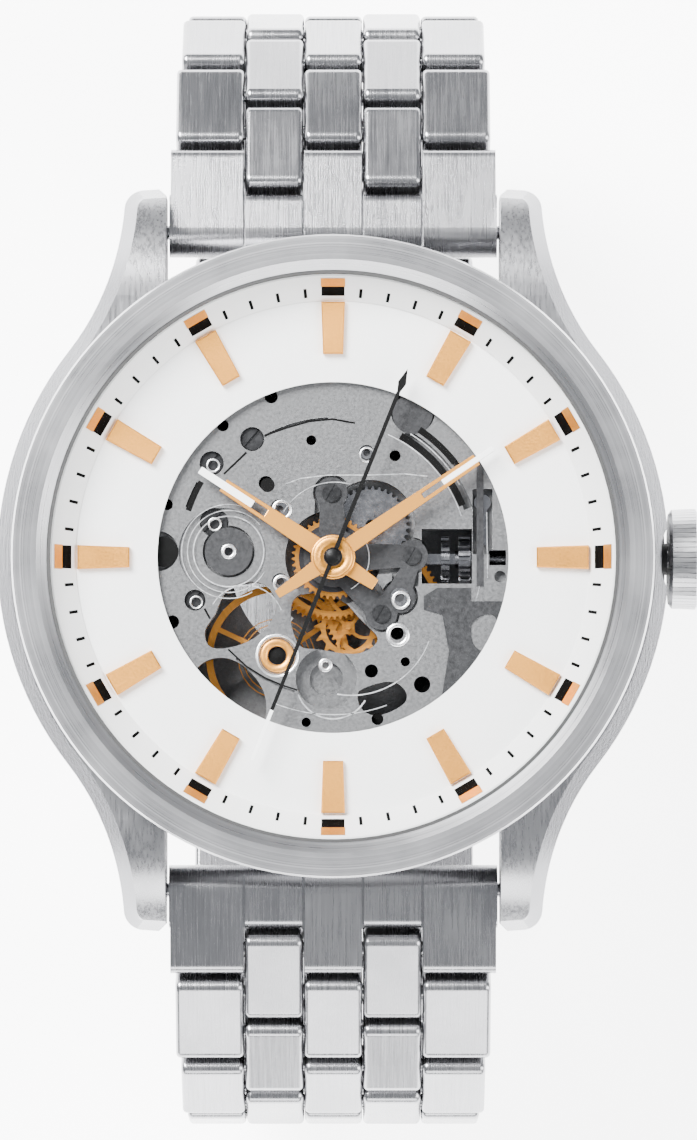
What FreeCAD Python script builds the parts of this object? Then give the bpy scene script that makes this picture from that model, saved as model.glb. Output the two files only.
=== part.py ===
"""Automatic wristwatch, 40 mm, with an open dial and a five-column steel bracelet.

Millimetres. Origin: centre of the case back's outer face, on the hands' axis.
X points to 3 o'clock (the crown), Y to 12 o'clock, Z out of the dial.
"""
import FreeCAD, Part
import Sketcher
import math
import os

V = FreeCAD.Vector
doc = FreeCAD.newDocument("wristwatch")
PARTS = []


class Dim(float):
    """A number that also knows its spreadsheet expression."""

    def __new__(cls, value, text):
        made = float.__new__(cls, value)
        made.text = text
        return made

    def _with(self, other, sign, value, swapped=False):
        text = getattr(other, "text", "%.6f" % float(other))
        pair = (text, sign, self.text) if swapped else (self.text, sign, text)
        return Dim(value, "(%s %s %s)" % pair)

    def __add__(self, other):
        return self._with(other, "+", float(self) + float(other))

    def __radd__(self, other):
        return self._with(other, "+", float(other) + float(self), True)

    def __sub__(self, other):
        return self._with(other, "-", float(self) - float(other))

    def __rsub__(self, other):
        return self._with(other, "-", float(other) - float(self), True)

    def __mul__(self, other):
        return self._with(other, "*", float(self) * float(other))

    def __rmul__(self, other):
        return self._with(other, "*", float(other) * float(self), True)

    def __truediv__(self, other):
        return self._with(other, "/", float(self) / float(other))

    def __neg__(self):
        return Dim(-float(self), "(-1 * %s)" % self.text)


SIZES = {
    # case
    "case_radius": 20.0,
    "case_low": 1.0,
    "case_top": 8.6,
    "case_bore": 14.0,
    "case_waist": 18.0,
    "lug_gap": 20.0,
    "lug_tip": 22.25,
    "lug_bevel": 0.8,
    "bar_reach": 19.8,
    "bar_height": 2.6,
    "bar_radius": 0.75,
    "bezel_radius": 19.05,
    "bezel_top": 11.4,
    "bezel_bore": 16.95,
    "crystal_radius": 16.75,
    "crystal_low": 10.3,
    "crystal_edge": 11.3,
    "back_radius": 17.6,
    "window_radius": 12.5,
    "window_thick": 1.0,
    # dial and hands
    "dial_low": 8.0,
    "dial_top": 8.4,
    "dial_radius": 16.85,
    "dial_opening": 10.45,
    "flange_inner": 15.3,
    "marker_inner": 12.1,
    "marker_outer": 15.2,
    "marker_high": 0.5,
    "hour_level": 8.9,
    "minute_level": 9.3,
    "seconds_level": 9.68,
    "hand_thick": 0.16,
    # movement
    "plate_radius": 14.0,
    "plate_low": 5.9,
    "plate_top": 7.9,
    "bridge_low": 2.9,
    "bridge_top": 3.45,
    "train_step": 4.0,
    "balance_along": -3.33,
    "balance_up": -5.83,
    "balance_radius": 4.3,
    "fork_along": -0.5,
    "fork_up": -6.33,
    "escape_along": 0.9,
    "escape_up": -4.1,
    "third_along": 2.9,
    "third_up": -2.75,
    "barrel_along": -3.96,
    "barrel_up": 3.96,
    "motion_along": 2.24,
    "motion_up": 1.99,
    "rotor_radius": 12.9,
    # crown
    "stem_height": 5.2,
    "stem_radius": 0.5,
    "crown_radius": 3.02,
    "crown_inner": 20.05,
    "crown_outer": 22.0,
    # bracelet
    "link_step": 2.8,
    "link_half": 1.35,
    "link_corner": 0.55,
    "pin_radius": 0.5,
    "pin_clear": 0.03,
    "column": 3.57,
    "column_gap": 0.08,
    "outer_wide": 4.43,
    "end_reach": 3.6,
    # clasp
    "clasp_bottom": -32.0,
    "clasp_wall": 1.0,
    "clasp_half": 8.9,
    "fold_front": 12.0,
    "fold_back": -12.0,
    "blade_thick": 0.8,
}

sheet = doc.addObject("Spreadsheet::Sheet", "dims")
D = {}
for row, (alias, number) in enumerate(SIZES.items(), start=1):
    sheet.set("A%d" % row, alias)
    sheet.set("B%d" % row, str(number))
    sheet.setAlias("B%d" % row, alias)
doc.recompute()
for alias in SIZES:
    D[alias] = Dim(float(sheet.get(alias)), "dims.%s" % alias)


# ---------------------------------------------------------------- sketch and feature helpers
def bind(obj, prop, value):
    """Set a property, through the sheet where the value comes from it."""
    if isinstance(value, Dim):
        obj.setExpression(prop, value.text)
    elif "." not in prop:
        setattr(obj, prop, value)


def new_body(name, place=None):
    body = doc.addObject("PartDesign::Body", name)
    body.Label = name
    if place:
        base = [float(number) for number in place]
        body.Placement = FreeCAD.Placement(V(*base), FreeCAD.Rotation())
        for axis, number in zip("xyz", place):
            if isinstance(number, Dim):
                body.setExpression("Placement.Base.%s" % axis, number.text)
    PARTS.append(body)
    return body


def plane(body, role):
    return [item for item in body.Origin.OriginFeatures if item.Role == role][0]


def fix_point(sk, index, end, point, driven_only=False):
    for kind, number, axis in (("DistanceX", point[0], -2), ("DistanceY", point[1], -1)):
        if driven_only and not isinstance(number, Dim):
            continue
        if abs(float(number)) < 1e-9:
            sk.addConstraint(Sketcher.Constraint("PointOnObject", index, end, axis))
            continue
        made = sk.addConstraint(Sketcher.Constraint(kind, index, end, float(number)))
        if isinstance(number, Dim):
            sk.setExpression("Constraints[%d]" % made, number.text)


def arc_through(begin, mid, end):
    """Counter-clockwise arc through three points, and whether it runs from end to begin."""
    centre = Part.Arc(begin, mid, end).toShape().Curve.Center
    flip = (mid - begin).cross(end - mid).z < 0
    first, last = (end, begin) if flip else (begin, end)
    start = math.atan2(first.y - centre.y, first.x - centre.x)
    stop = math.atan2(last.y - centre.y, last.x - centre.x)
    if stop < start:
        stop += 2 * math.pi
    circle = Part.Circle(centre, V(0, 0, 1), (begin - centre).Length)
    return Part.ArcOfCircle(circle, start, stop), flip


def draw_outline(sk, points):
    """Closed outline. A point is (x, y), or ('arc', (mx, my), (x, y)) for an arc to x, y."""
    ends = [item[2] if item[0] == "arc" else item for item in points]
    vec = [V(float(x), float(y), 0) for x, y in ends]
    used = []
    for step, item in enumerate(points):
        begin = vec[step - 1]
        if item[0] == "arc":
            mid = V(float(item[1][0]), float(item[1][1]), 0)
            arc, flip = arc_through(begin, mid, vec[step])
            made = sk.addGeometry(arc, False)
            used.append((made, 2 if flip else 1, 1 if flip else 2))
        else:
            made = sk.addGeometry(Part.LineSegment(begin, vec[step]), False)
            used.append((made, 1, 2))
    for step, (made, start, end) in enumerate(used):
        after = used[(step + 1) % len(used)]
        sk.addConstraint(Sketcher.Constraint("Coincident", made, end, after[0], after[1]))
    curved = any(item[0] == "arc" for item in points)
    for step, (made, start, end) in enumerate(used):
        fix_point(sk, made, end, ends[step], curved)


def draw_circle(sk, x, y, radius):
    circle = Part.Circle(V(float(x), float(y), 0), V(0, 0, 1), float(radius))
    made = sk.addGeometry(circle, False)
    fix_point(sk, made, 3, (x, y))
    held = sk.addConstraint(Sketcher.Constraint("Radius", made, float(radius)))
    if isinstance(radius, Dim):
        sk.setExpression("Constraints[%d]" % held, radius.text)


def draw_smooth(sk, points):
    curve = Part.BSplineCurve()
    curve.interpolate([V(float(x), float(y), 0) for x, y in points], PeriodicFlag=True)
    sk.addGeometry(curve, False)


def new_sketch(body, role, shapes, level=0.0):
    """Shapes: ('circle', x, y, r), ('smooth', points) or ('outline', points)."""
    sk = body.newObject("Sketcher::SketchObject", "%s_sketch" % body.Name)
    sk.AttachmentSupport = [(plane(body, role), "")]
    sk.MapMode = "FlatFace"
    sk.AttachmentOffset = FreeCAD.Placement(V(0, 0, float(level)), FreeCAD.Rotation())
    if isinstance(level, Dim):
        sk.setExpression("AttachmentOffset.Base.z", level.text)
    for shape in shapes:
        if shape[0] == "circle":
            draw_circle(sk, *shape[1:])
        elif shape[0] == "smooth":
            draw_smooth(sk, shape[1])
        else:
            draw_outline(sk, shape[1])
    return sk


def pad(body, shapes, low, high, role="XY_Plane", both=False):
    """Add material between two levels along the sketch normal."""
    sk = new_sketch(body, role, shapes, low)
    made = body.newObject("PartDesign::Pad", "%s_pad" % body.Name)
    made.Profile = sk
    if both:
        made.Midplane = True
    bind(made, "Length", high - low)
    return made


def pocket(body, shapes, low, high, role="XY_Plane"):
    """Remove material between two levels along the sketch normal."""
    sk = new_sketch(body, role, shapes, high)
    made = body.newObject("PartDesign::Pocket", "%s_pocket" % body.Name)
    made.Profile = sk
    bind(made, "Length", high - low)
    return made


def revolve(body, outline, role="XZ_Plane", axis="V_Axis"):
    """Turn an outline given as radius and height about the body's own Z axis."""
    sk = new_sketch(body, role, [("outline", outline)])
    made = body.newObject("PartDesign::Revolution", "%s_turned" % body.Name)
    made.Profile = sk
    made.ReferenceAxis = (sk, [axis])
    made.Angle = 360
    return made


def groove(body, outline, role="XZ_Plane", axis="V_Axis"):
    sk = new_sketch(body, role, [("outline", outline)])
    made = body.newObject("PartDesign::Groove", "%s_groove" % body.Name)
    made.Profile = sk
    made.ReferenceAxis = (sk, [axis])
    made.Angle = 360
    return made


def polar(body, feature, count, axis_role="Z_Axis"):
    made = body.newObject("PartDesign::PolarPattern", "%s_around" % body.Name)
    made.Originals = [feature]
    made.Axis = (plane(body, axis_role), [""])
    made.Angle = 360
    made.Occurrences = count
    body.Tip = made
    return made


def mirror(body, features, role):
    made = body.newObject("PartDesign::MultiTransform", "%s_mirror" % body.Name)
    made.Originals = features
    flips = []
    for item in role:
        one = body.newObject("PartDesign::Mirrored", "%s_flip" % body.Name)
        one.MirrorPlane = (plane(body, item), [""])
        flips.append(one)
    made.Transformations = flips
    body.Tip = made
    return made


def feature(name, shape, place=None):
    """A piece whose shape comes straight from the Part functions."""
    made = doc.addObject("Part::Feature", name)
    made.Label = name
    made.Shape = shape
    made.Placement = FreeCAD.Placement(V(*[float(n) for n in place or (0, 0, 0)]), FreeCAD.Rotation())
    for axis, number in zip("xyz", place or ()):
        if isinstance(number, Dim):
            made.setExpression("Placement.Base.%s" % axis, number.text)
    PARTS.append(made)
    return made


def group(name, members):
    """One node made of separate solids; the members keep their own sketches."""
    for item in members:
        PARTS.remove(item)
    made = doc.addObject("Part::Compound", name)
    made.Label = name
    made.Links = members
    PARTS.append(made)
    return made


def box(x0, x1, y0, y1):
    return ("outline", [(x0, y0), (x1, y0), (x1, y1), (x0, y1)])


def ring(inner, outer, low, high):
    return [(inner, low), (outer, low), (outer, high), (inner, high)]


def at(radius, degrees):
    turn = math.radians(degrees)
    return (radius * math.cos(turn), radius * math.sin(turn))


def strip(angle, inner, outer, wide_in, wide_out):
    """A bar along a direction, angle clockwise from 12 o'clock; widths at its two ends."""
    turn = math.radians(90 - angle)
    along = (math.cos(turn), math.sin(turn))
    side = (-along[1], along[0])
    corners = []
    for reach, half in ((inner, wide_in / 2), (outer, wide_out / 2)):
        for sign in ((-1, 1) if reach is inner else (1, -1)):
            corners.append((along[0] * reach + side[0] * half * sign, along[1] * reach + side[1] * half * sign))
    return [corners[1], corners[0], corners[3], corners[2]]


def rod(radius, low, high, x=0.0, y=0.0):
    return Part.makeCylinder(float(radius), float(high) - float(low), V(float(x), float(y), float(low)))


def tube(inner, outer, low, high, x=0.0, y=0.0):
    return rod(outer, low, high, x, y).cut(rod(inner, float(low) - 1, float(high) + 1, x, y))


def plate_from(points, low, high):
    loop = Part.makePolygon([V(float(x), float(y), float(low)) for x, y in points + [points[0]]])
    return Part.Face(loop).extrude(V(0, 0, float(high) - float(low)))


# ---------------------------------------------------------------- case
def lug_curve():
    """Points of one lug's outer edge: the flank arc, the waist between, and the rounded tip."""
    radius, turn, tip_radius = float(D["case_radius"]), math.radians(38), 1.2
    unit = (math.cos(turn), math.sin(turn))
    end = (12.5, float(D["lug_tip"]) - tip_radius)
    along = end[0] * unit[0] + end[1] * unit[1]
    waist_radius = (end[0] ** 2 + end[1] ** 2 - 2 * radius * along + radius ** 2) / (2 * (along - radius))
    centre = ((radius + waist_radius) * unit[0], (radius + waist_radius) * unit[1])
    start_angle = turn + math.pi
    end_angle = math.atan2(end[1] - centre[1], end[0] - centre[0]) % (2 * math.pi)
    half = (start_angle + end_angle) / 2
    waist = (centre[0] + waist_radius * math.cos(half), centre[1] + waist_radius * math.sin(half))
    hub = (end[0] + tip_radius * math.cos(end_angle), end[1] + tip_radius * math.sin(end_angle))
    tip_mid = (hub[0] + tip_radius * 0.7071, hub[1] + tip_radius * 0.7071)
    flank = ((radius * unit[0], radius * unit[1]), end)
    return flank, waist, (tip_mid, (hub[0], hub[1] + tip_radius))


def make_mid_case():
    body = new_body("mid_case")
    radius, tip, gap = D["case_radius"], D["lug_tip"], D["lug_gap"] / 2
    low, top = D["case_low"], D["case_top"]
    flank, waist, tip_round = lug_curve()
    cheek = [
        (gap, tip - 0.45),
        (gap, -1 * tip + 0.45),
        (gap + 0.45, -1 * tip),
    ]
    lower = [(point[0], -point[1]) for point in (flank[0], waist, flank[1], tip_round[0], tip_round[1])]
    cheek += [
        lower[4],
        ("arc", lower[3], lower[2]),
        ("arc", lower[1], lower[0]),
        ("arc", (radius, 0.0), flank[0]),
        ("arc", waist, flank[1]),
        ("arc", tip_round[0], tip_round[1]),
        (gap + 0.45, tip),
    ]
    mirrored = []
    for item in cheek:
        if item[0] == "arc":
            mirrored.append(("arc", (-item[1][0], item[1][1]), (-item[2][0], item[2][1])))
        else:
            mirrored.append((-item[0], item[1]))
    pad(body, [("circle", 0, 0, D["case_waist"])], low, top)
    cheeks = pad(body, [("outline", cheek), ("outline", mirrored)], low, top)
    fall = 8.35
    middle = 0.5
    slope = [
        (15.6, 8.6),
        ("arc", (15.6 + fall * math.sin(middle), 8.6 - fall + fall * math.cos(middle)),
         (15.6 + fall * math.sin(1.05), 8.6 - fall + fall * math.cos(1.05))),
        (24.5, 4.3), (24.5, 9.2), (15.6, 9.2),
    ]
    under = [(17.5, 0.5), (22.9, 0.5), (22.9, 2.2)]
    for sign in (1, -1):
        for outline in (slope, under):
            flipped = []
            for item in outline:
                if item[0] == "arc":
                    flipped.append(("arc", (sign * item[1][0], item[1][1]), (sign * item[2][0], item[2][1])))
                else:
                    flipped.append((sign * item[0], item[1]))
            cut = pocket(body, [("outline", flipped)], -25.0, 25.0, "YZ_Plane")
    doc.recompute()
    bevel(body, cut, D["lug_bevel"])
    bore = D["case_bore"]
    pocket(body, [("circle", 0, 0, bore)], low - 0.5, top + 0.5)
    pocket(body, [("circle", 0, 0, D["dial_radius"] + 0.1)], D["dial_low"], top + 0.5)
    hole = new_sketch(body, "YZ_Plane", [("circle", 0, D["stem_height"], D["stem_radius"] + 0.07)], 10.0)
    cut = body.newObject("PartDesign::Pocket", "mid_case_stem_hole")
    cut.Profile = hole
    cut.Reversed = True
    cut.Length = 12.0
    hole = new_sketch(body, "YZ_Plane", [("circle", 0, D["stem_height"], 3.15)], 19.55)
    cut = body.newObject("PartDesign::Pocket", "mid_case_crown_seat")
    cut.Profile = hole
    cut.Reversed = True
    cut.Length = 2.0
    ends = [("circle", sign * D["bar_reach"], D["bar_height"], 0.42) for sign in (1, -1)]
    cut = pocket(body, ends, -11.0, 11.0, "YZ_Plane")
    return body


def bevel(body, base, size):
    """Chamfer the long outer edges at the top of the flanks and lugs."""
    names = []
    for number, edge in enumerate(base.Shape.Edges, start=1):
        reach = edge.BoundBox
        if abs(edge.CenterOfMass.x) > 11.6 and reach.ZMin > 4 and reach.YLength > 1:
            names.append("Edge%d" % number)
    made = body.newObject("PartDesign::Chamfer", "mid_case_bevel")
    made.Base = (base, names)
    made.Size = float(size)
    made.setExpression("Size", size.text)
    doc.recompute()
    if not made.isValid() or made.Shape.isNull():
        print("bevel left out", names)
        body.removeObject(made)
        doc.removeObject(made.Name)
        body.Tip = base
    return made


def make_case_parts():
    top, bore = D["bezel_top"], D["bezel_bore"]
    body = new_body("bezel")
    revolve(body, [
        (bore, D["case_top"]), (D["bezel_radius"] - 0.25, D["case_top"]),
        (D["bezel_radius"], D["case_top"] + 0.3), (D["bezel_radius"], top - 0.3),
        (D["bezel_radius"] - 0.12, top), (17.56, top), (bore, top - 0.45),
    ])
    body = new_body("crystal")
    edge = D["crystal_radius"]
    low = D["crystal_low"]
    revolve(body, [
        (0, low), (edge, low), (edge, D["crystal_edge"] - 0.2), (edge - 0.2, D["crystal_edge"]),
        (0, D["crystal_edge"])])
    body = new_body("crystal_gasket")
    revolve(body, ring(D["crystal_radius"], bore, low, top - 0.5))
    body = new_body("dial")
    pad(body, [("circle", 0, 0, D["dial_radius"]), ("circle", 0, 0, D["dial_opening"])],
        D["dial_low"], D["dial_top"])
    body = new_body("flange_ring")
    inner = D["flange_inner"]
    revolve(body, [
        (inner, D["dial_top"]), (D["dial_radius"], D["dial_top"]), (D["dial_radius"], low - 0.05),
        (D["dial_radius"] - 0.2, low - 0.05), (inner, D["dial_top"] + 0.12),
    ])
    body = new_body("case_back")
    window, back = D["window_radius"], D["back_radius"]
    revolve(body, [
        (window, 0), (back - 0.7, 0), (back, 0.35), (back, D["case_low"]), (D["case_bore"], D["case_low"]),
        (D["case_bore"], 1.5), (window - 0.5, 1.5), (window - 0.5, D["window_thick"]),
        (window, D["window_thick"]),
    ])
    notch = pocket(body, [box(14.6, 15.8, -0.9, 0.9)], -0.5, 0.45)
    polar(body, notch, 6)
    body = new_body("case_back_glass")
    pad(body, [("circle", 0, 0, window)], 0.0, D["window_thick"])
    bars = []
    for sign in (1, -1):
        y, z = sign * float(D["bar_reach"]), float(D["bar_height"])
        barrel_ = Part.makeCylinder(float(D["bar_radius"]), 19.7, V(-9.85, y, z), V(1, 0, 0))
        nose = Part.makeCylinder(0.42, 21.8, V(-10.9, y, z), V(1, 0, 0))
        bars.append(barrel_.fuse(nose))
    feature("spring_bars", Part.makeCompound(bars))
    blocks = []
    for count in range(12):
        block = plate_from(
            strip(30 * count, float(D["marker_inner"]), float(D["marker_outer"]), 1.2, 1.42),
            D["dial_top"], D["dial_top"] + D["marker_high"])
        tops = [e for e in block.Edges if e.BoundBox.ZMin > float(D["dial_top"]) + 0.4]
        blocks.append(block.makeChamfer(0.08, tops))
    feature("hour_markers", Part.makeCompound(blocks))


# ---------------------------------------------------------------- hands
def hand_body(name, level, hub, bore, outlines, slots):
    body = new_body(name)
    thick = D["hand_thick"]
    pad(body, [("circle", 0, 0, hub)], level, level + thick)
    pad(body, [("outline", points) for points in outlines], level, level + thick)
    if slots:
        pocket(body, [("outline", points) for points in slots], level - 0.1, level + thick + 0.1)
    if bore:
        pocket(body, [("circle", 0, 0, bore)], level - 0.1, level + thick + 0.1)
    return body


def make_hands():
    for name, level, hub, bore, outlines, slot, lume in (
            ("hour_hand", D["hour_level"], 1.3, 0.95,
             [strip(303.25, 0.8, 7.8, 1.08, 0.82), strip(123.25, 0.8, 3.0, 1.0, 0.7)],
             strip(303.25, 4.74, 7.9, 0.45, 0.45), strip(303.25, 5.7, 9.45, 0.45, 0.45)),
            ("minute_hand", D["minute_level"], 1.2, 0.66,
             [strip(55.9, 0.8, 10.3, 0.95, 0.7), strip(235.9, 0.8, 4.0, 1.0, 0.5)],
             strip(55.9, 6.43, 10.4, 0.33, 0.33), strip(55.9, 7.86, 11.5, 0.33, 0.33))):
        metal = hand_body(name + "_metal", level, hub, bore, outlines, [slot])
        paste = new_body(name + "_lume")
        pad(paste, [("outline", lume)], level, level + D["hand_thick"])
        group(name, [metal, paste])
    head = [strip(201.7, 0.3, 13.0, 0.26, 0.2), strip(21.7, 0.3, 10.5, 0.26, 0.22)]
    body = hand_body("seconds_hand", D["seconds_level"], 0.5, 0.2, head, [])
    turn = math.radians(90 - 21.7)
    tip = []
    for reach, off in ((10.2, 0.0), (11.1, 0.25), (12.0, 0.0), (11.1, -0.25)):
        tip.append((reach * math.cos(turn) - off * math.sin(turn), reach * math.sin(turn) + off * math.cos(turn)))
    pad(body, [("outline", tip)], D["seconds_level"], D["seconds_level"] + D["hand_thick"])


# ---------------------------------------------------------------- toothed wheels
def toothed(teeth, module, low, high, phase=0.0, backlash=0.36):
    """Solid wheel with trapezoid teeth; phase is the direction of one tooth in degrees."""
    pitch = teeth * module / 2
    tip, root = pitch + 0.62 * module, pitch - 0.95 * module
    points = []
    for count in range(teeth):
        middle = math.radians(phase + 360.0 * count / teeth)
        step = 2 * math.pi / teeth
        for radius, part in ((root, -0.30), (pitch, -backlash / 2), (tip, -0.09),
                             (tip, 0.09), (pitch, backlash / 2), (root, 0.30)):
            angle = middle + part * step
            points.append((radius * math.cos(angle), radius * math.sin(angle)))
    return plate_from(points, low, high)


def windows(inner, outer, count, arm, low, high, lean=0.0):
    """Openings between spokes; lean turns the outer end of each spoke, in degrees."""
    cuts = []
    for number in range(count):
        middle = 360.0 * number / count
        half = 180.0 / count
        points = []
        for step in range(7):
            radius = inner + (outer - inner) * step / 6
            gap = half - math.degrees(arm / 2 / radius)
            points.append(at(radius, middle - gap + lean * (step / 6) ** 1.5))
        for step in range(6, -1, -1):
            radius = inner + (outer - inner) * step / 6
            gap = half - math.degrees(arm / 2 / radius)
            if step == 6:
                for bend in range(1, 6):
                    points.append(at(radius, middle - gap + 2 * gap * bend / 6 + lean))
            points.append(at(radius, middle + gap + lean * (step / 6) ** 1.5))
        cuts.append(plate_from(points, low, high))
    return cuts


def wheel(teeth, module, low, high, phase=0.0, arms=5, lean=0.0, hub=0.9):
    solid = toothed(teeth, module, low, high, phase)
    outer = teeth * module / 2 - 0.95 * module - 0.3
    for cut in windows(hub, outer, arms, 0.3, low - 0.1, high + 0.1, lean):
        solid = solid.cut(cut)
    return solid


def toward(here, there):
    return math.degrees(math.atan2(there[1] - here[1], there[0] - here[0]))


def spot(name):
    return (D[name + "_along"], D[name + "_up"])


def make_train():
    middle = (0.0, 0.0)
    third, escape, barrel = spot("third"), spot("escape"), spot("barrel")
    motion, fork, balance = spot("motion"), spot("fork"), spot("balance")
    # mainspring barrel drives the centre pinion
    reach = math.hypot(*barrel)
    module = 2 * reach / 90
    line = toward(barrel, middle)
    shape = toothed(80, module, 4.9, 5.2, line)
    shape = shape.fuse(rod(4.45, 3.9, 4.95)).fuse(rod(0.6, 3.5, 5.85)).cut(tube(1.6, 3.9, 5.05, 5.3))
    feature("mainspring_barrel", shape.removeSplitter(), barrel + (0.0,))
    # centre wheel: pinion, wheel and the tube that carries the cannon pinion
    back = toward(middle, barrel)
    shape = toothed(10, module, 4.85, 5.35, back + 18)
    ahead = toward(middle, third)
    step = math.hypot(*third)
    module = 2 * step / 72
    shape = shape.fuse(wheel(64, module, 5.5, 5.68, ahead, 5, 25.0))
    shape = shape.fuse(rod(0.42, 4.85, 9.2)).cut(rod(0.24, 4.0, 10.0))
    feature("centre_wheel", shape.removeSplitter())
    # third wheel
    facing = toward(third, middle)
    shape = toothed(8, module, 5.4, 5.8, facing + 22.5)
    module = 2 * step / 68
    shape = shape.fuse(wheel(60, module, 4.5, 4.66, facing, 5, 25.0)).fuse(rod(0.16, 3.0, 6.5))
    feature("third_wheel", shape.removeSplitter(), third + (0.0,))
    # fourth wheel turns once a minute and carries the seconds hand
    shape = toothed(8, module, 4.3, 4.78, ahead + 22.5)
    reach = math.hypot(*escape)
    module = 2 * reach / 77
    line = toward(middle, escape)
    shape = shape.fuse(wheel(70, module, 3.6, 3.76, line, 4, 30.0)).fuse(rod(0.2, 3.0, 9.84))
    feature("fourth_wheel", shape.removeSplitter())
    # escape wheel
    line = toward(escape, middle)
    shape = toothed(7, module, 3.52, 3.86, line + 180.0 / 7)
    points = []
    for count in range(15):
        for radius, part in ((1.62, 0.0), (2.05, 9.0), (2.05, 11.0), (1.7, 12.5)):
            points.append(at(radius, 24 * count + part))
    disc = plate_from(points, 4.9, 5.06)
    for cut in windows(0.45, 1.35, 4, 0.2, 4.8, 5.2, 20.0):
        disc = disc.cut(cut)
    shape = shape.fuse(disc).fuse(rod(0.14, 3.0, 6.3))
    feature("escape_wheel", shape.removeSplitter(), escape + (0.0,))
    # pallet fork
    aim = toward(fork, balance)
    lever = plate_from([at(0.22, aim + 90), at(2.1, aim + 5), at(2.1, aim - 5), at(0.22, aim - 90)], 4.85, 5.02)
    wheelward = toward(fork, escape)
    for sign in (1, -1):
        arm = plate_from([at(0.2, wheelward + sign * 160), at(1.35, wheelward + sign * 88),
                          at(1.3, wheelward + sign * 72), at(0.2, wheelward + sign * 10)], 4.85, 5.02)
        lever = lever.fuse(arm)
    lever = lever.fuse(rod(0.25, 4.8, 5.1)).fuse(rod(0.12, 3.4, 6.3))
    feature("pallet_fork", lever.removeSplitter(), fork + (0.0,))
    # balance wheel with its staff and roller
    outer = float(D["balance_radius"])
    rim = tube(outer - 0.42, outer, 3.92, 4.36)
    for count in range(3):
        angle = 35 + 120 * count
        spoke = Part.makeBox(outer - 0.3, 0.3, 0.2, V(0, -0.15, 4.0))
        spoke.rotate(V(0, 0, 0), V(0, 0, 1), angle)
        rim = rim.fuse(spoke)
    rim = rim.fuse(rod(0.6, 3.95, 4.25)).fuse(rod(0.16, 3.1, 6.4)).fuse(rod(0.5, 5.2, 5.4))
    rim = feature("balance_rim", rim.removeSplitter(), balance + (0.0,))
    # hairspring: flat spiral strip
    left, right = [], []
    turns, start = 7.0, 0.42
    count = 168
    for number in range(count + 1):
        angle = 2 * math.pi * turns * number / count
        radius = start + 2.1 * number / count
        left.append(V((radius - 0.03) * math.cos(angle), (radius - 0.03) * math.sin(angle), 3.55))
        right.append(V((radius + 0.03) * math.cos(angle), (radius + 0.03) * math.sin(angle), 3.55))
    loop = Part.makePolygon(left + right[::-1] + [left[0]])
    spiral = Part.Face(loop).extrude(V(0, 0, 0.14))
    spiral = feature("hairspring", spiral.fuse(tube(0.16, 0.42, 3.5, 3.75)), balance + (0.0,))
    group("balance_wheel", [rim, spiral])
    # motion works
    reach = math.hypot(*motion)
    module = 2 * reach / 48
    line = toward(middle, motion)
    shape = toothed(12, module, 6.45, 6.9, line).fuse(rod(0.66, 6.45, 9.46)).cut(rod(0.45, 6.0, 10.0))
    feature("cannon_pinion", shape.removeSplitter())
    line = toward(motion, middle)
    shape = toothed(36, module, 6.5, 6.72, line + 5)
    small = 2 * reach / 50
    shape = shape.fuse(toothed(10, small, 6.7, 7.28, line)).cut(rod(0.3, 6.0, 8.0))
    feature("minute_wheel", shape.removeSplitter(), motion + (0.0,))
    shape = toothed(40, small, 7.0, 7.2, toward(middle, motion) + 4.5).fuse(rod(0.95, 7.0, 9.06))
    shape = shape.fuse(rod(2.05, 7.2, 7.4)).cut(rod(0.7, 6.0, 10.0))
    feature("hour_wheel", shape.removeSplitter())


# ---------------------------------------------------------------- plates and bridges
SCREW_SPOTS = [(-7.23, 5.63, 0.72), (-4.82, 7.07, 0.72), (-7.08, 2.11, 0.86), (-8.22, -2.53, 0.63)]
SMALL_HOLES = [
    (-6.57, 7.89, 0.36), (-3.69, 9.6, 0.4), (-4.0, 4.44, 0.43), (-9.88, 3.17, 0.34), (-9.56, -3.83, 0.4),
    (3.69, 6.08, 0.33), (3.81, -4.5, 0.4), (5.3, -7.55, 0.49), (2.28, -6.75, 0.4), (-1.6, -9.8, 0.28),
    (2.64, -9.6, 0.36), (4.3, -6.2, 0.28), (-1.3, 7.0, 0.3),
]
RING_PINS = [(-3.18, 2.9, 0.58), (-3.14, -1.43, 0.5), (2.0, 6.27, 0.45), (9.94, -1.13, 0.35)]
COVER_SCREWS = [(-0.1, 3.85), (4.7, 0.11), (2.87, -3.35)]
COVER_JEWEL = (3.97, -2.35)
KIDNEY_UP = [(-7.63, -4.74), (-7.31, -5.3), (-6.26, -5.37), (-4.85, -4.88), (-3.87, -4.04), (-3.41, -3.05),
             (-3.52, -2.21), (-4.01, -1.65), (-4.71, -1.44), (-5.7, -1.58), (-6.54, -2.21), (-7.1, -3.48)]
KIDNEY_DOWN = [(-8.01, -6.49), (-7.52, -6.14), (-6.26, -6.0), (-5.27, -6.49), (-4.43, -7.41),
               (-4.04, -8.25), (-4.4, -10.3), (-7.4, -8.8)]
MIDDLE_WINDOW = [(-2.46, -2.77), (-2.53, -3.61), (-2.32, -4.6), (-1.9, -5.3), (-1.06, -5.44), (0.35, -5.65),
                 (1.33, -5.72), (2.17, -5.44), (2.66, -4.88), (2.2, -4.2), (1.33, -3.33), (0.77, -2.7)]
LOW_WINDOW = [(1.6, -7.9), (2.6, -7.5), (4.0, -7.6), (4.4, -8.3), (3.6, -9.1), (2.1, -9.3), (1.5, -8.6)]


def arc_slot(inner, outer, start, stop):
    middle = (start + stop) / 2
    return ("outline", [
        at(inner, stop), at(outer, stop), ("arc", at(outer, middle), at(outer, start)), at(inner, start),
        ("arc", at(inner, middle), at(inner, stop))][1:])


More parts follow.
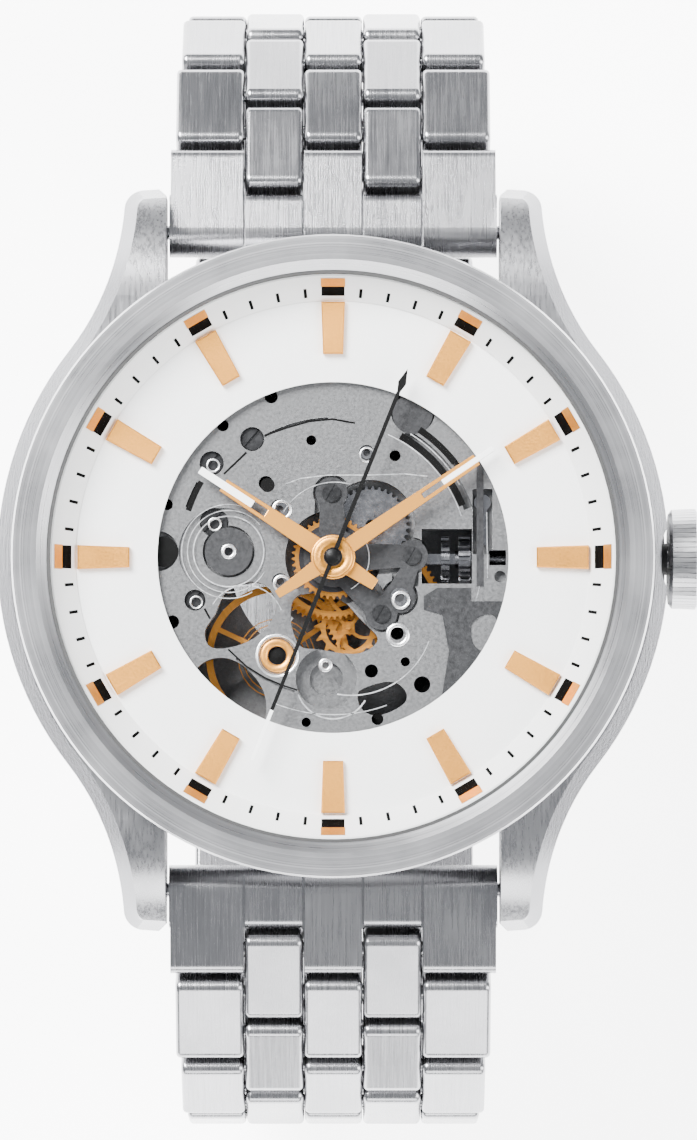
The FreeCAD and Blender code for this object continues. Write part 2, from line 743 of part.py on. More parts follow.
def make_plates():
    low, top = D["plate_low"], D["plate_top"]
    body = new_body("main_plate")
    pad(body, [("circle", 0, 0, D["plate_radius"])], low, top)
    pocket(body, [("circle", 0, 0, 2.85)], 6.3, top + 0.5)
    pocket(body, [("circle", D["motion_along"], D["motion_up"], 2.65)], 6.3, top + 0.5)
    cover = [strip(toward_clock(x, y), 0.5, math.hypot(x, y) + 0.2, 2.4, 1.9) for x, y in COVER_SCREWS]
    for points in cover:
        pocket(body, [("outline", points)], 7.3, top + 0.5)
    for x, y in COVER_SCREWS + [COVER_JEWEL]:
        pocket(body, [("circle", x, y, 1.1)], 7.3, top + 0.5)
    pocket(body, [("circle", 0, 0, 0.46)], low - 0.5, 7.0)
    for points in (KIDNEY_UP, KIDNEY_DOWN, MIDDLE_WINDOW, LOW_WINDOW):
        pocket(body, [("smooth", points)], low - 0.5, top + 0.5)
    pocket(body, [box(5.27, 8.28, -1.55, 1.72)], low - 0.5, top + 0.5)
    pocket(body, [box(8.28, 14.6, -0.75, 0.75)], low - 0.5, 6.0)
    pocket(body, [box(9.3, 10.3, -0.45, 0.45)], low - 0.5, top + 0.5)
    pocket(body, [box(8.3, 9.5, 0.2, 4.1)], 7.0, top + 0.5)
    pocket(body, [("circle", x, y, r) for x, y, r in SMALL_HOLES], 6.6, top + 0.5)
    pocket(body, [("circle", x, y, r) for x, y, r in SCREW_SPOTS], 7.2, top + 0.5)
    pocket(body, [("circle", x, y, r) for x, y, r in RING_PINS], 7.3, top + 0.5)
    pocket(body, [("circle", -6.22, 0.37, 1.55)], 7.1, top + 0.5)
    pocket(body, [("circle", -6.6, 0.37, 2.6)], 7.7, top + 0.5)
    pocket(body, [("circle", 4.76, 8.69, 1.31)], 7.2, top + 0.5)
    pocket(body, [("circle", -10.4, 0.39, 1.19)], 7.2, top + 0.5)
    pocket(body, [("circle", D["balance_along"], D["balance_up"], 1.1)], 7.3, top + 0.5)
    pocket(body, [("circle", -0.4, -7.2, 1.83)], 7.0, top + 0.5)
    pocket(body, [("circle", -0.4, -7.2, 1.0)], 6.6, top + 0.5)
    pocket(body, [arc_slot(8.3, 8.85, 20, 60)], 7.2, top + 0.5)
    pocket(body, [arc_slot(9.05, 9.4, 33, 54)], 7.3, top + 0.5)
    pocket(body, [arc_slot(8.95, 9.3, 151, 161)], 7.2, top + 0.5)
    pocket(body, [arc_slot(8.24, 8.38, 92, 125)], 7.7, top + 0.5)
    pocket(body, [arc_slot(8.24, 8.38, 226, 254)], 7.7, top + 0.5)
    pivots = [("circle", D["third_along"], D["third_up"], 0.2)]
    pocket(body, pivots, low - 0.5, 6.7)
    pivots = [("circle", D["escape_along"], D["escape_up"], 0.2)]
    pocket(body, [("circle", D["fork_along"], D["fork_up"], 0.18)], low - 0.5, 6.5)
    pocket(body, [("circle", D["balance_along"], D["balance_up"], 0.22)], low - 0.5, 7.4)
    pocket(body, [("outline", [(3.5, -0.8), (5.1, -0.8), (5.1, -1.72), (3.5, -1.72)])], 7.44, top + 0.5)
    # cover over the motion works
    body = new_body("motion_cover")
    under, over = 7.48, 7.86
    pad(body, [("circle", 0, 0, 1.75)], under, over)
    for (x, y), points in zip(COVER_SCREWS, [strip(toward_clock(x, y), 1.0, math.hypot(x, y), 1.7, 1.3)
                                             for x, y in COVER_SCREWS]):
        pad(body, [("outline", points)], under, over)
        pad(body, [("circle", x, y, 0.95)], under, over)
        pad(body, [("circle", x, y, 0.6)], 7.3, under)
    pad(body, [("outline", [(4.2, -0.3), (5.2, -0.2), (4.6, -2.4), (3.2, -3.2), (2.4, -2.7), (3.4, -1.6)])],
        under, over)
    pad(body, [("circle", COVER_JEWEL[0], COVER_JEWEL[1], 0.95)], under, over)
    pocket(body, [("circle", 0, 0, 1.05)], under - 0.5, over + 0.5)
    # train bridge with its bearing post for the rotor and its pillars
    low, top = D["bridge_low"], D["bridge_top"]
    body = new_body("train_bridge")
    pad(body, [("circle", 0, 0, D["plate_radius"] - 0.1)], low, top)
    pocket(body, [("circle", D["balance_along"], D["balance_up"], 5.0)], low - 0.5, top + 0.5)
    pocket(body, [("outline", [(-14, -4.2), (-14, -14), (1.2, -14), (-1.2, -8.6), (-7.9, -4.2)])],
           low - 0.5, top + 0.5)
    pad(body, [("circle", 0, 0, 0.8)], 1.55, low)
    posts = [at(12.6, angle) for angle in (62, 110, 168, -28, -62)]
    pad(body, [("circle", x, y, 0.7) for x, y in posts], top, D["plate_low"])
    pocket(body, [("circle", 0, 0, 0.23)], 2.7, top + 0.5)
    for name in ("third", "escape", "fork"):
        x, y = spot(name)
        pocket(body, [("circle", x, y, 0.19)], 2.95, top + 0.5)
    pocket(body, [("circle", D["barrel_along"], D["barrel_up"], 0.64)], 3.2, top + 0.5)
    # balance cock
    x, y = spot("balance")
    reach = math.hypot(x, y)
    body = new_body("balance_cock")
    direction = toward_clock(x, y)
    pad(body, [("outline", strip(direction, float(reach) - 0.2, 13.6, 1.9, 3.4))], 2.75, 3.2)
    pad(body, [("circle", x, y, 1.0)], 2.75, 3.2)
    fx, fy = at(12.7, 90 - direction)
    pad(body, [("circle", fx, fy, 0.9)], 3.2, D["plate_low"])
    pocket(body, [("circle", x, y, 0.2)], 3.0, 3.5)


def toward_clock(x, y):
    return 90 - math.degrees(math.atan2(float(y), float(x)))


def make_small_fixings():
    top = 7.9
    jewels = []
    x, y = spot("balance")
    jewels.append(tube(0.53, 1.08, 7.3, 7.75, x, y))
    for x, y, low, high in ((-6.22, 0.37, 7.1, 7.6), (COVER_JEWEL[0], COVER_JEWEL[1], 7.86, 7.98)):
        jewels.append(tube(0.28, 0.55, low, high, x, y))
    for x, y, radius in RING_PINS[:3]:
        jewels.append(tube(0.22, radius - 0.06, 7.3, 7.85, x, y))
    feature("jewels", Part.makeCompound(jewels))
    screws = []
    for x, y, radius in SCREW_SPOTS:
        head = rod(radius - 0.08, 7.2, 7.55, x, y)
        slot = Part.makeBox(4, 0.22, 0.3, V(x - 2, y - 0.11, 7.4))
        slot.rotate(V(x, y, 0), V(0, 0, 1), 50)
        screws.append(head.cut(slot))
    for x, y in COVER_SCREWS:
        head = rod(0.55, 7.86, 8.0, x, y)
        slot = Part.makeBox(4, 0.2, 0.3, V(x - 2, y - 0.1, 7.92))
        slot.rotate(V(x, y, 0), V(0, 0, 1), 60)
        screws.append(head.cut(slot))
    feature("plate_screws", Part.makeCompound(screws))
    body = new_body("cover_plate")
    pad(body, [("outline", [(6.2, -1.8), (8.2, -1.8), (8.2, -2.6), (10.9, -2.6), (10.6, -5.2), (8.2, -8.4),
                            (6.9, -9.1), (6.4, -8.7), (6.9, -5.6), (6.5, -3.4), (5.4, -3.1), (5.4, -2.3)])],
        top, top + 0.09)
    pocket(body, [("smooth", [(8.6, -3.6), (9.6, -3.5), (9.8, -4.6), (9.1, -5.6), (8.4, -5.2), (8.2, -4.4)])],
           top - 0.5, top + 0.5)
    cover = body
    body = new_body("spring_bar_plate")
    pad(body, [box(8.55, 8.95, -1.7, 7.6)], top, top + 0.08)
    pad(body, [box(8.3, 9.2, 6.9, 7.6)], top, top + 0.08)
    group("keyless_cover", [cover, body])


# ---------------------------------------------------------------- winding
def turned_x(name, outline, place=None):
    """A body turned about its own X axis; the outline is given as (x, radius)."""
    body = new_body(name, place or (0.0, 0.0, D["stem_height"]))
    sk = new_sketch(body, "XY_Plane", [("outline", outline)])
    made = body.newObject("PartDesign::Revolution", "%s_turned" % name)
    made.Profile = sk
    made.ReferenceAxis = (sk, ["H_Axis"])
    made.Angle = 360
    return body


def pinion_x(name, teeth, tip, root, bore, near, far):
    points = []
    for count in range(teeth):
        for radius, part in ((root, -0.3), (tip, -0.15), (tip, 0.15), (root, 0.3)):
            angle = 2 * math.pi * (count + part) / teeth
            points.append(V(near, radius * math.cos(angle), radius * math.sin(angle)))
    solid = Part.Face(Part.makePolygon(points + [points[0]])).extrude(V(far - near, 0, 0))
    solid = solid.cut(Part.makeCylinder(bore, 10, V(near - 2, 0, 0), V(1, 0, 0)))
    return solid


def make_winding():
    level = (0.0, 0.0, D["stem_height"])
    stem = D["stem_radius"]
    inner, outer, radius = D["crown_inner"], D["crown_outer"], D["crown_radius"]
    turned_x("crown", [
        (inner, 0), (inner, 2.7), (inner + 0.2, radius - 0.05),
        (outer - 0.35, radius), (outer - 0.1, radius - 0.3), (outer - 0.1, 2.2), (outer, 2.1), (outer, 0)])
    crown = PARTS[-1]
    cut = new_sketch(crown, "YZ_Plane", [("outline", [
        (radius + 0.3, -0.09), (radius + 0.3, 0.09), (radius - 0.1, 0.0)])], inner - 0.6)
    made = crown.newObject("PartDesign::Pocket", "crown_tooth")
    made.Profile = cut
    made.Reversed = True
    made.Length = 3.0
    polar(crown, made, 60, "X_Axis")
    body = turned_x("crown_gasket", [(19.6, stem + 0.04), (20.0, stem + 0.04), (20.0, 0.95), (19.6, 0.95)])
    shaft = Part.makeCylinder(float(stem), float(inner) - 7.3, V(7.3, 0, 0), V(1, 0, 0))
    side = 0.62
    tip = Part.makeBox(1.9, side, side, V(5.6, -side / 2, -side / 2))
    feature("winding_stem", shaft.fuse(tip).removeSplitter(), level)
    feature("sliding_pinion", pinion_x("sliding_pinion", 16, 1.37, 1.1, 0.53, 6.45, 6.95), level)
    shape = pinion_x("winding_pinion", 18, 1.4, 1.12, 0.55, 7.5, 8.2)
    feature("winding_pinion", shape, level)
    lever = new_body("setting_lever", (8.9, 3.3, 0.0))
    pad(lever, [("circle", 0, 0, 0.5)], 7.1, 7.4)
    pad(lever, [("outline", [(-0.3, 0.0), (-0.25, -2.3), (0.25, -2.6), (0.3, 0.0)])], 7.1, 7.4)


def make_rotor():
    body = new_body("rotor")
    low, high = 1.75, 2.1
    edge = D["rotor_radius"]
    pad(body, [("circle", 0, 0, edge)], low, high)
    pad(body, [("circle", 0, 0, edge), ("circle", 0, 0, 10.6)], high, 2.55)
    pocket(body, [box(-14, 14, 0.0, 14)], low - 0.5, 3.0)
    pad(body, [("circle", 0, 0, 2.6)], low, high)
    pocket(body, [("circle", 0, 0, 0.85)], low - 0.5, high + 0.5)
    pocket(body, [arc_slot(4.2, 6.2, -165, -125)], low - 0.5, high + 0.5)
    pocket(body, [arc_slot(4.2, 6.2, -55, -15)], low - 0.5, high + 0.5)


# ---------------------------------------------------------------- bracelet
LEANS = [8, 24, 31, 44, 58, 73, 84, 92, 100, 108, 116, 124, 133, 143, 153, 163, 172]


def pin_spots():
    """Pin centres of the 12 o'clock half as (y, z), from the spring bar to the clasp."""
    y, z = float(D["bar_reach"]), float(D["bar_height"])
    spots = [(y, z)]
    for number, lean in enumerate(LEANS):
        step = float(D["end_reach"] if number == 0 else D["link_step"])
        y += step * math.cos(math.radians(lean))
        z -= step * math.sin(math.radians(lean))
        spots.append((y, z))
    return spots


def link_profile(near, far, half, corner):
    """Side outline of a link in its own plane: round inner ends, nearly flat outer face."""
    return Part.Wire([
        Part.Arc(V(-half + near, 0, 0), V(near - half * 0.7071, -half * 0.7071, 0), V(near, -half, 0)).toShape(),
        Part.LineSegment(V(near, -half, 0), V(far, -half, 0)).toShape(),
        Part.Arc(V(far, -half, 0), V(far + half * 0.7071, -half * 0.7071, 0), V(far + half, 0, 0)).toShape(),
        Part.LineSegment(V(far + half, 0, 0), V(far + half, half - corner, 0)).toShape(),
        Part.Arc(V(far + half, half - corner, 0), V(far + half - corner * 0.293, half - corner * 0.293, 0),
                 V(far + half - corner, half, 0)).toShape(),
        Part.LineSegment(V(far + half - corner, half, 0), V(near - half + corner, half, 0)).toShape(),
        Part.Arc(V(near - half + corner, half, 0), V(near - half + corner * 0.293, half - corner * 0.293, 0),
                 V(near - half, half - corner, 0)).toShape(),
        Part.LineSegment(V(near - half, half - corner, 0), V(near - half, 0, 0)).toShape(),
    ])


def lay(shape, start, lean, side):
    """Move a shape drawn with its run along X, outward along Y, width along Z onto a bracelet half."""
    turn = math.radians(lean)
    run = V(0, side * math.cos(turn), -math.sin(turn))
    out = V(0, side * math.sin(turn), math.cos(turn))
    wide = run.cross(out)
    matrix = FreeCAD.Matrix(
        run.x, out.x, wide.x, 0,
        run.y, out.y, wide.y, side * start[0],
        run.z, out.z, wide.z, start[1], 0, 0, 0, 1)
    return shape.transformed(matrix, True)


def columns(row, which):
    """Column edges in X: 'inner' is columns 2 and 4, 'outer' is columns 1, 3 and 5."""
    column, gap = float(D["column"]), float(D["column_gap"]) / 2
    taper = (float(D["outer_wide"]) - column) / 3
    wide = max(column, float(D["outer_wide"]) - taper * row)
    if which == "inner":
        spans = [(0.5 * column, 1.5 * column)]
    else:
        spans = [(1.5 * column, 1.5 * column + wide)]
    both = [(a + gap, b - (gap if which == "inner" else 0)) for a, b in spans]
    both += [(-b, -a) for a, b in both]
    if which != "inner":
        both.append((-0.5 * column + gap, 0.5 * column - gap))
    return both


def link_piece(edges, holes, half, corner, step):
    x0, x1 = edges
    face = Part.Face(link_profile(0.0, step, half, corner))
    solid = face.extrude(V(0, 0, x1 - x0))
    solid.translate(V(0, 0, x0))
    crown = [edge for edge in solid.Edges
             if edge.BoundBox.YMin > half - 0.01 and edge.BoundBox.XLength > 1.0]
    solid = solid.makeFillet(0.3, crown)
    for along, radius in holes:
        solid = solid.cut(Part.makeCylinder(radius, x1 - x0 + 2, V(along, 0, x0 - 1), V(0, 0, 1)))
    return solid


def make_bracelet():
    spots = pin_spots()
    pin, clear = float(D["pin_radius"]), float(D["pin_clear"])
    half, corner, step = float(D["link_half"]), float(D["link_corner"]), float(D["link_step"])
    rows = 8
    for side, label in ((1, "12"), (-1, "6")):
        make_end_link(side, label, spots)
        for row in range(1, rows + 1):
            first, second = 2 * row - 1, 2 * row
            pieces = []
            for edges in columns(row, "inner"):
                piece = link_piece(edges, [(0, pin), (step, pin)], half, corner, step)
                pieces.append(lay(piece, spots[first], LEANS[first], side))
            for edges in columns(row, "outer"):
                piece = link_piece(edges, [(0, pin), (step, pin + clear)], half, corner, step)
                pieces.append(lay(piece, spots[second], LEANS[second], side))
            reach = columns(row, "outer")[0][1] - 0.5
            for index, lean in ((first, LEANS[first]), (second, LEANS[second])):
                rod_ = Part.makeCylinder(pin, 2 * reach, V(0, 0, -reach), V(0, 0, 1))
                pieces.append(lay(rod_, spots[index], lean, side))
            feature("link_row_%s_%d" % (label, row), Part.makeCompound(pieces))


def make_end_link(side, label, spots):
    """End link: one block in the lug gap, hooked on the spring bar, with the first hinge ears."""
    half, pin = float(D["link_half"]), float(D["pin_radius"])
    column = float(D["column"])
    reach = float(D["end_reach"])
    lean = LEANS[0]
    wide = float(D["lug_gap"]) / 2 - 0.14
    eye = 1.5
    # block outline in side view, run along X from the spring bar, outward along Y
    block = Part.Face(Part.Wire([
        Part.Arc(V(0, eye, 0), V(-eye, 0, 0), V(0, -eye, 0)).toShape(),
        Part.LineSegment(V(0, -eye, 0), V(1.2, -half, 0)).toShape(),
        Part.LineSegment(V(1.2, -half, 0), V(1.7, -half, 0)).toShape(),
        Part.LineSegment(V(1.7, -half, 0), V(2.15, -0.7, 0)).toShape(),
        Part.LineSegment(V(2.15, -0.7, 0), V(2.15, 0.9, 0)).toShape(),
        Part.Arc(V(2.15, 0.9, 0), V(2.0, 1.28, 0), V(1.65, 1.45, 0)).toShape(),
        Part.LineSegment(V(1.65, 1.45, 0), V(0, eye, 0)).toShape(),
    ])).extrude(V(0, 0, 2 * wide))
    block.translate(V(0, 0, -wide))
    for edges in columns(0, "outer"):
        x0, x1 = edges
        x1 = min(x1, wide)
        x0 = max(x0, -wide)
        ear = Part.Face(Part.Wire([
            Part.LineSegment(V(1.2, -half, 0), V(reach, -half, 0)).toShape(),
            Part.Arc(V(reach, -half, 0), V(reach + half * 0.7071, -half * 0.7071, 0),
                     V(reach + half, 0, 0)).toShape(),
            Part.LineSegment(V(reach + half, 0, 0), V(reach + half, 0.75, 0)).toShape(),
            Part.Arc(V(reach + half, 0.75, 0), V(reach + half - 0.2, 1.2, 0), V(reach + half - 0.6, 1.36, 0)).toShape(),
            Part.LineSegment(V(reach + half - 0.6, 1.36, 0), V(0.4, 1.49, 0)).toShape(),
            Part.LineSegment(V(0.4, 1.49, 0), V(1.2, -half, 0)).toShape(),
        ])).extrude(V(0, 0, x1 - x0))
        ear.translate(V(0, 0, x0))
        block = block.fuse(ear)
    bar = float(D["bar_radius"]) + float(D["pin_clear"])
    block = block.cut(Part.makeCylinder(bar, 30, V(0, 0, -15), V(0, 0, 1)))
    block = block.cut(Part.makeCylinder(pin + float(D["pin_clear"]), 30, V(reach, 0, -15), V(0, 0, 1)))
    for edge in (0.5 * column, 1.5 * column):
        for sign in (1, -1):
            cut = Part.makeBox(12, 8, 0.16, V(-5, 1.05, sign * edge - 0.08))
            block = block.cut(cut)
    shape = lay(block.removeSplitter(), spots[0], lean, side)
    feature("end_link_%s" % label, shape)


# ---------------------------------------------------------------- clasp
def box_solid(x0, x1, y0, y1, z0, z1):
    return Part.makeBox(x1 - x0, y1 - y0, z1 - z0, V(x0, y0, z0))


def make_clasp():
    end_y, end_z = pin_spots()[-1]
    low, wall, half = float(D["clasp_bottom"]), float(D["clasp_wall"]), float(D["clasp_half"])
    front, back = float(D["fold_front"]), float(D["fold_back"])
    pin, clear, thick = float(D["pin_radius"]), float(D["pin_clear"]), float(D["blade_thick"])
    column = float(D["column"])
    # cover: plate, side walls and two ears between the last links
    cover = box_solid(-half, half, -14.6, 14.8, low, low + wall)
    cover = cover.fuse(box_solid(-half, -half + 0.9, -14.6, 14.8, low, -29.3))
    cover = cover.fuse(box_solid(half - 0.9, half, -14.6, 14.8, low, -29.3))
    for edges in columns(9, "inner"):
        x0, x1 = edges
        ear = Part.makeCylinder(1.3, x1 - x0, V(x0, -end_y, end_z), V(1, 0, 0))
        ear = ear.fuse(box_solid(x0, x1, -end_y, -14.0, end_z - 1.3, end_z + 0.4))
        ear = ear.fuse(box_solid(x0, x1, -14.8, -14.0, low, end_z + 0.4))
        cover = cover.fuse(ear)
    cover = cover.cut(Part.makeCylinder(pin, 40, V(-20, -end_y, end_z), V(1, 0, 0)))
    cover = cover.cut(Part.makeCylinder(0.95, 4, V(-10, 4.0, -30.2), V(1, 0, 0)))
    cover = cover.cut(Part.makeCylinder(0.95, 4, V(6, 4.0, -30.2), V(1, 0, 0)))
    long_edges = [edge for edge in cover.Edges if edge.BoundBox.YLength > 29 and edge.BoundBox.ZMax < low + 0.01
                  and abs(edge.CenterOfMass.x) > half - 0.01]
    cover = cover.makeFillet(0.6, long_edges)
    pins = [Part.makeCylinder(pin, 16.6, V(-8.3, -end_y, end_z), V(1, 0, 0))]
    hinge_z = -30.05
    pins.append(Part.makeCylinder(0.4, 2 * half - 1.0, V(-half + 0.5, front, hinge_z), V(1, 0, 0)))
    cover = cover.cut(pins[1])
    feature("clasp_cover", Part.makeCompound([cover.removeSplitter()] + pins))
    # outer blade: from the cover's front hinge back to the fold
    width = 6.4
    blade = box_solid(-width, width, back, front - 0.9, hinge_z - thick / 2, hinge_z + thick / 2)
    knuckle = Part.makeCylinder(0.75, 2 * width, V(-width, front, hinge_z), V(1, 0, 0))
    blade = blade.fuse(knuckle).fuse(box_solid(-width, width, front - 1.0, front, hinge_z - thick / 2,
                                               hinge_z + thick / 2))
    blade = blade.cut(Part.makeCylinder(0.4 + clear, 40, V(-20, front, hinge_z), V(1, 0, 0)))
    fold_z = hinge_z + 1.1
    for sign in (1, -1):
        lug = Part.makeCylinder(0.8, 1.2, V(sign * width - (1.2 if sign > 0 else 0), back, fold_z), V(1, 0, 0))
        foot = box_solid(min(sign * width, sign * (width - 1.2)), max(sign * width, sign * (width - 1.2)),
                         back - 0.8, back + 0.8, hinge_z - thick / 2, fold_z)
        blade = blade.fuse(lug).fuse(foot)
    fold_pin = Part.makeCylinder(0.4, 2 * width - 0.3, V(-width + 0.15, back, fold_z), V(1, 0, 0))
    blade = blade.cut(fold_pin)
    for low_y in (-8.5, 1.0):
        blade = blade.cut(box_solid(-3.4, 3.4, low_y, low_y + 6.5, hinge_z - 2, hinge_z + 2))
    feature("clasp_blade_outer", Part.makeCompound([blade.removeSplitter(), fold_pin]))
    # inner blade: from the fold to the free tongue
    narrow = width - 1.28
    tongue = box_solid(-narrow, narrow, back, 14.9, fold_z - 0.3, fold_z + 0.3)
    tongue = tongue.fuse(Part.makeCylinder(0.62, 2 * narrow, V(-narrow, back, fold_z), V(1, 0, 0)))
    tongue = tongue.cut(Part.makeCylinder(0.4 + clear, 40, V(-20, back, fold_z), V(1, 0, 0)))
    for low_y in (-9.0, 1.0):
        tongue = tongue.cut(box_solid(-2.6, 2.6, low_y, low_y + 7.5, fold_z - 1, fold_z + 1))
    feature("clasp_blade_inner", tongue.removeSplitter())
    for name, sign in (("clasp_button_right", 1), ("clasp_button_left", -1)):
        base = sign * (half - 1.7)
        button = Part.makeCylinder(0.9, 2.3, V(base, 4.0, -30.2), V(sign, 0, 0))
        button = button.makeFillet(0.25, [edge for edge in button.Edges
                                          if abs(edge.BoundBox.XMin - (base + sign * 2.3)) < 0.01
                                          and edge.BoundBox.XLength < 0.01])
        feature(name, button)


# ---------------------------------------------------------------- build and write
make_mid_case()
make_case_parts()
make_hands()
make_train()
make_plates()
make_small_fixings()
make_winding()
make_rotor()
make_bracelet()
make_clasp()
doc.recompute()

bad = []
for item in doc.Objects:
    if "Invalid" in item.State or "Error" in item.State:
        bad.append("%s %s" % (item.Name, item.State))
for item in PARTS:
    if item.Shape.isNull() or not item.Shape.isValid() or item.Shape.Volume <= 0:
        bad.append("shape of %s" % item.Label)
if bad:
    raise SystemExit("not built: " + "; ".join(bad))
os.makedirs("parts", exist_ok=True)
for item in PARTS:
    item.Shape.exportStep("parts/%s.step" % item.Label)
print(len(PARTS), "pieces written")
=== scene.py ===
"""Looks of the wristwatch: materials, printed and small visual pieces, camera and light."""

import math

import bpy
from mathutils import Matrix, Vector


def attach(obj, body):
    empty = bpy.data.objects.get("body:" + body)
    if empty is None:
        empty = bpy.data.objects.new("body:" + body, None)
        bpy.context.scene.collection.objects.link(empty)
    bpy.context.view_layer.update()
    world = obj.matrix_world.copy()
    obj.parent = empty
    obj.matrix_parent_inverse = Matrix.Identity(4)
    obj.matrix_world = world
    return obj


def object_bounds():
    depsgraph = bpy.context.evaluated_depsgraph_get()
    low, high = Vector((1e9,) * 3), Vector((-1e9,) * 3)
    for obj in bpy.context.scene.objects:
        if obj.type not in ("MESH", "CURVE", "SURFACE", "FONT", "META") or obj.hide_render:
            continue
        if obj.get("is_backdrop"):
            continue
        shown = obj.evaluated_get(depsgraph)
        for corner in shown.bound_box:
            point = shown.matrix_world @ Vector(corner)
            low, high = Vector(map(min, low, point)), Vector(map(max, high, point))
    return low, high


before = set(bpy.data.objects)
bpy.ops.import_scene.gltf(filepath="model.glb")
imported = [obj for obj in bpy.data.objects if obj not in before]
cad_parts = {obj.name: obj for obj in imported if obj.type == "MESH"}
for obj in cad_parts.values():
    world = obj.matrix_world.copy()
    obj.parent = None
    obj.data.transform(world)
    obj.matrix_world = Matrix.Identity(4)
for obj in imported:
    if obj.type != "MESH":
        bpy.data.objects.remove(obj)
MM = 0.001


def note_size(label, sizes={}):
    low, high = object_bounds()
    sizes[label] = [list(low), list(high)]


note_size("cad")


# ------------------------------------------------------------------ node helpers
class Tree:
    """Short calls for building one material's nodes."""

    def __init__(self, name):
        self.mat = bpy.data.materials.new(name)
        self.mat.use_nodes = True
        self.nodes = self.mat.node_tree.nodes
        self.links = self.mat.node_tree.links
        self.nodes.clear()
        self.out = self.nodes.new("ShaderNodeOutputMaterial")
        self.bsdf = self.nodes.new("ShaderNodeBsdfPrincipled")
        self.links.new(self.bsdf.outputs[0], self.out.inputs[0])
        self.place = self.nodes.new("ShaderNodeTexCoord").outputs["Object"]

    def set(self, socket, value):
        target = self.bsdf.inputs[socket] if isinstance(socket, str) else socket
        if hasattr(value, "is_linked"):
            self.links.new(value, target)
        else:
            target.default_value = value

    def scaled(self, x, y, z):
        node = self.nodes.new("ShaderNodeMapping")
        node.inputs["Scale"].default_value = (x, y, z)
        self.links.new(self.place, node.inputs[0])
        return node.outputs[0]

    def noise(self, vector, scale=1.0, detail=4.0, rough=0.6):
        node = self.nodes.new("ShaderNodeTexNoise")
        node.inputs["Scale"].default_value = scale
        node.inputs["Detail"].default_value = detail
        node.inputs["Roughness"].default_value = rough
        self.links.new(vector, node.inputs["Vector"])
        return node.outputs[0]

    def math(self, kind, one, two=0.0, clamp=False):
        node = self.nodes.new("ShaderNodeMath")
        node.operation = kind
        node.use_clamp = clamp
        self.set(node.inputs[0], one)
        self.set(node.inputs[1], two)
        return node.outputs[0]

    def spread(self, value, low, high, start=0.0, stop=1.0):
        node = self.nodes.new("ShaderNodeMapRange")
        self.set(node.inputs["Value"], value)
        for name, number in (("From Min", start), ("From Max", stop), ("To Min", low), ("To Max", high)):
            node.inputs[name].default_value = number
        return node.outputs[0]

    def mix(self, amount, one, two):
        node = self.nodes.new("ShaderNodeMix")
        node.data_type = "RGBA"
        for index, value in ((0, amount), (6, one), (7, two)):
            self.set(node.inputs[index], (*value, 1.0) if isinstance(value, tuple) else value)
        return node.outputs[2]

    def split(self):
        node = self.nodes.new("ShaderNodeSeparateXYZ")
        self.links.new(self.place, node.inputs[0])
        return node.outputs

    def radius(self):
        x, y, z = self.split()
        total = self.math("ADD", self.math("MULTIPLY", x, x), self.math("MULTIPLY", y, y))
        return self.math("SQRT", total)

    def one_way(self, value, scale):
        """Noise that varies only with one value, as in turned or brushed lines."""
        node = self.nodes.new("ShaderNodeCombineXYZ")
        self.set(node.inputs[0], self.math("MULTIPLY", value, scale))
        return self.noise(node.outputs[0], 1.0, 3.0, 0.65)

    def bump(self, height, strength, distance):
        node = self.nodes.new("ShaderNodeBump")
        node.inputs["Strength"].default_value = strength
        node.inputs["Distance"].default_value = distance
        self.links.new(height, node.inputs["Height"])
        self.links.new(node.outputs[0], self.bsdf.inputs["Normal"])


def metal(name, colour, rough=0.3, grain=(4000, 300, 300), depth=0.25, contrast=0.12, turned=False,
          metallic=1.0, patina=0.08):
    """Brushed, turned or blasted metal with grain, patina and faint scratches."""
    tree = Tree(name)
    if turned:
        lines = tree.one_way(tree.radius(), grain[0])
    else:
        lines = tree.noise(tree.scaled(*grain), 1.0, 5.0, 0.7)
    cloud = tree.noise(tree.scaled(160, 160, 160), 1.0, 4.0)
    fine = tree.noise(tree.scaled(9000, 9000, 9000), 1.0, 2.0)
    dark = tuple(c * (1 - contrast) for c in colour)
    light = tuple(min(1.0, c * (1 + contrast)) for c in colour)
    base = tree.mix(tree.spread(lines, 0, 1, 0.3, 0.7), dark, light)
    stain = tuple(c * (1 - patina) for c in colour)
    base = tree.mix(tree.spread(cloud, 0.0, 0.5, 0.45, 0.75), base, stain)
    tree.set("Base Color", base)
    tree.set("Metallic", metallic)
    worn = tree.math("ADD", tree.spread(lines, rough * 0.8, rough * 1.25, 0.3, 0.7),
                     tree.spread(cloud, -0.04, 0.06, 0.3, 0.7), True)
    tree.set("Roughness", worn)
    height = tree.math("ADD", lines, tree.math("MULTIPLY", fine, 0.35))
    tree.bump(height, depth, 0.00002)
    return tree


GOLD_TONE = (0.76, 0.33, 0.055)
GILT_TONE = (0.62, 0.26, 0.05)
LUME_TONE = (0.88, 0.88, 0.87)
MATS = {}
MATS["flank"] = metal("flank_satin", (0.30, 0.30, 0.31), 0.28, (500, 500, 9000), 0.22).mat
MATS["bezel"] = metal("bezel_turned", (0.40, 0.40, 0.41), 0.30, (9000, 0, 0), 0.28, 0.16, True).mat
MATS["links"] = metal("links_brushed", (0.30, 0.30, 0.31), 0.25, (11000, 260, 260), 0.30, 0.16).mat
MATS["clasp"] = metal("clasp_brushed", (0.58, 0.58, 0.59), 0.28, (9000, 260, 260), 0.28, 0.14).mat
MATS["crown"] = metal("crown_satin", (0.36, 0.36, 0.37), 0.28, (800, 5000, 5000), 0.2).mat
MATS["gold"] = metal("gold_brushed", GOLD_TONE, 0.36, (9000, 9000, 900), 0.22, 0.10, False, 0.9).mat
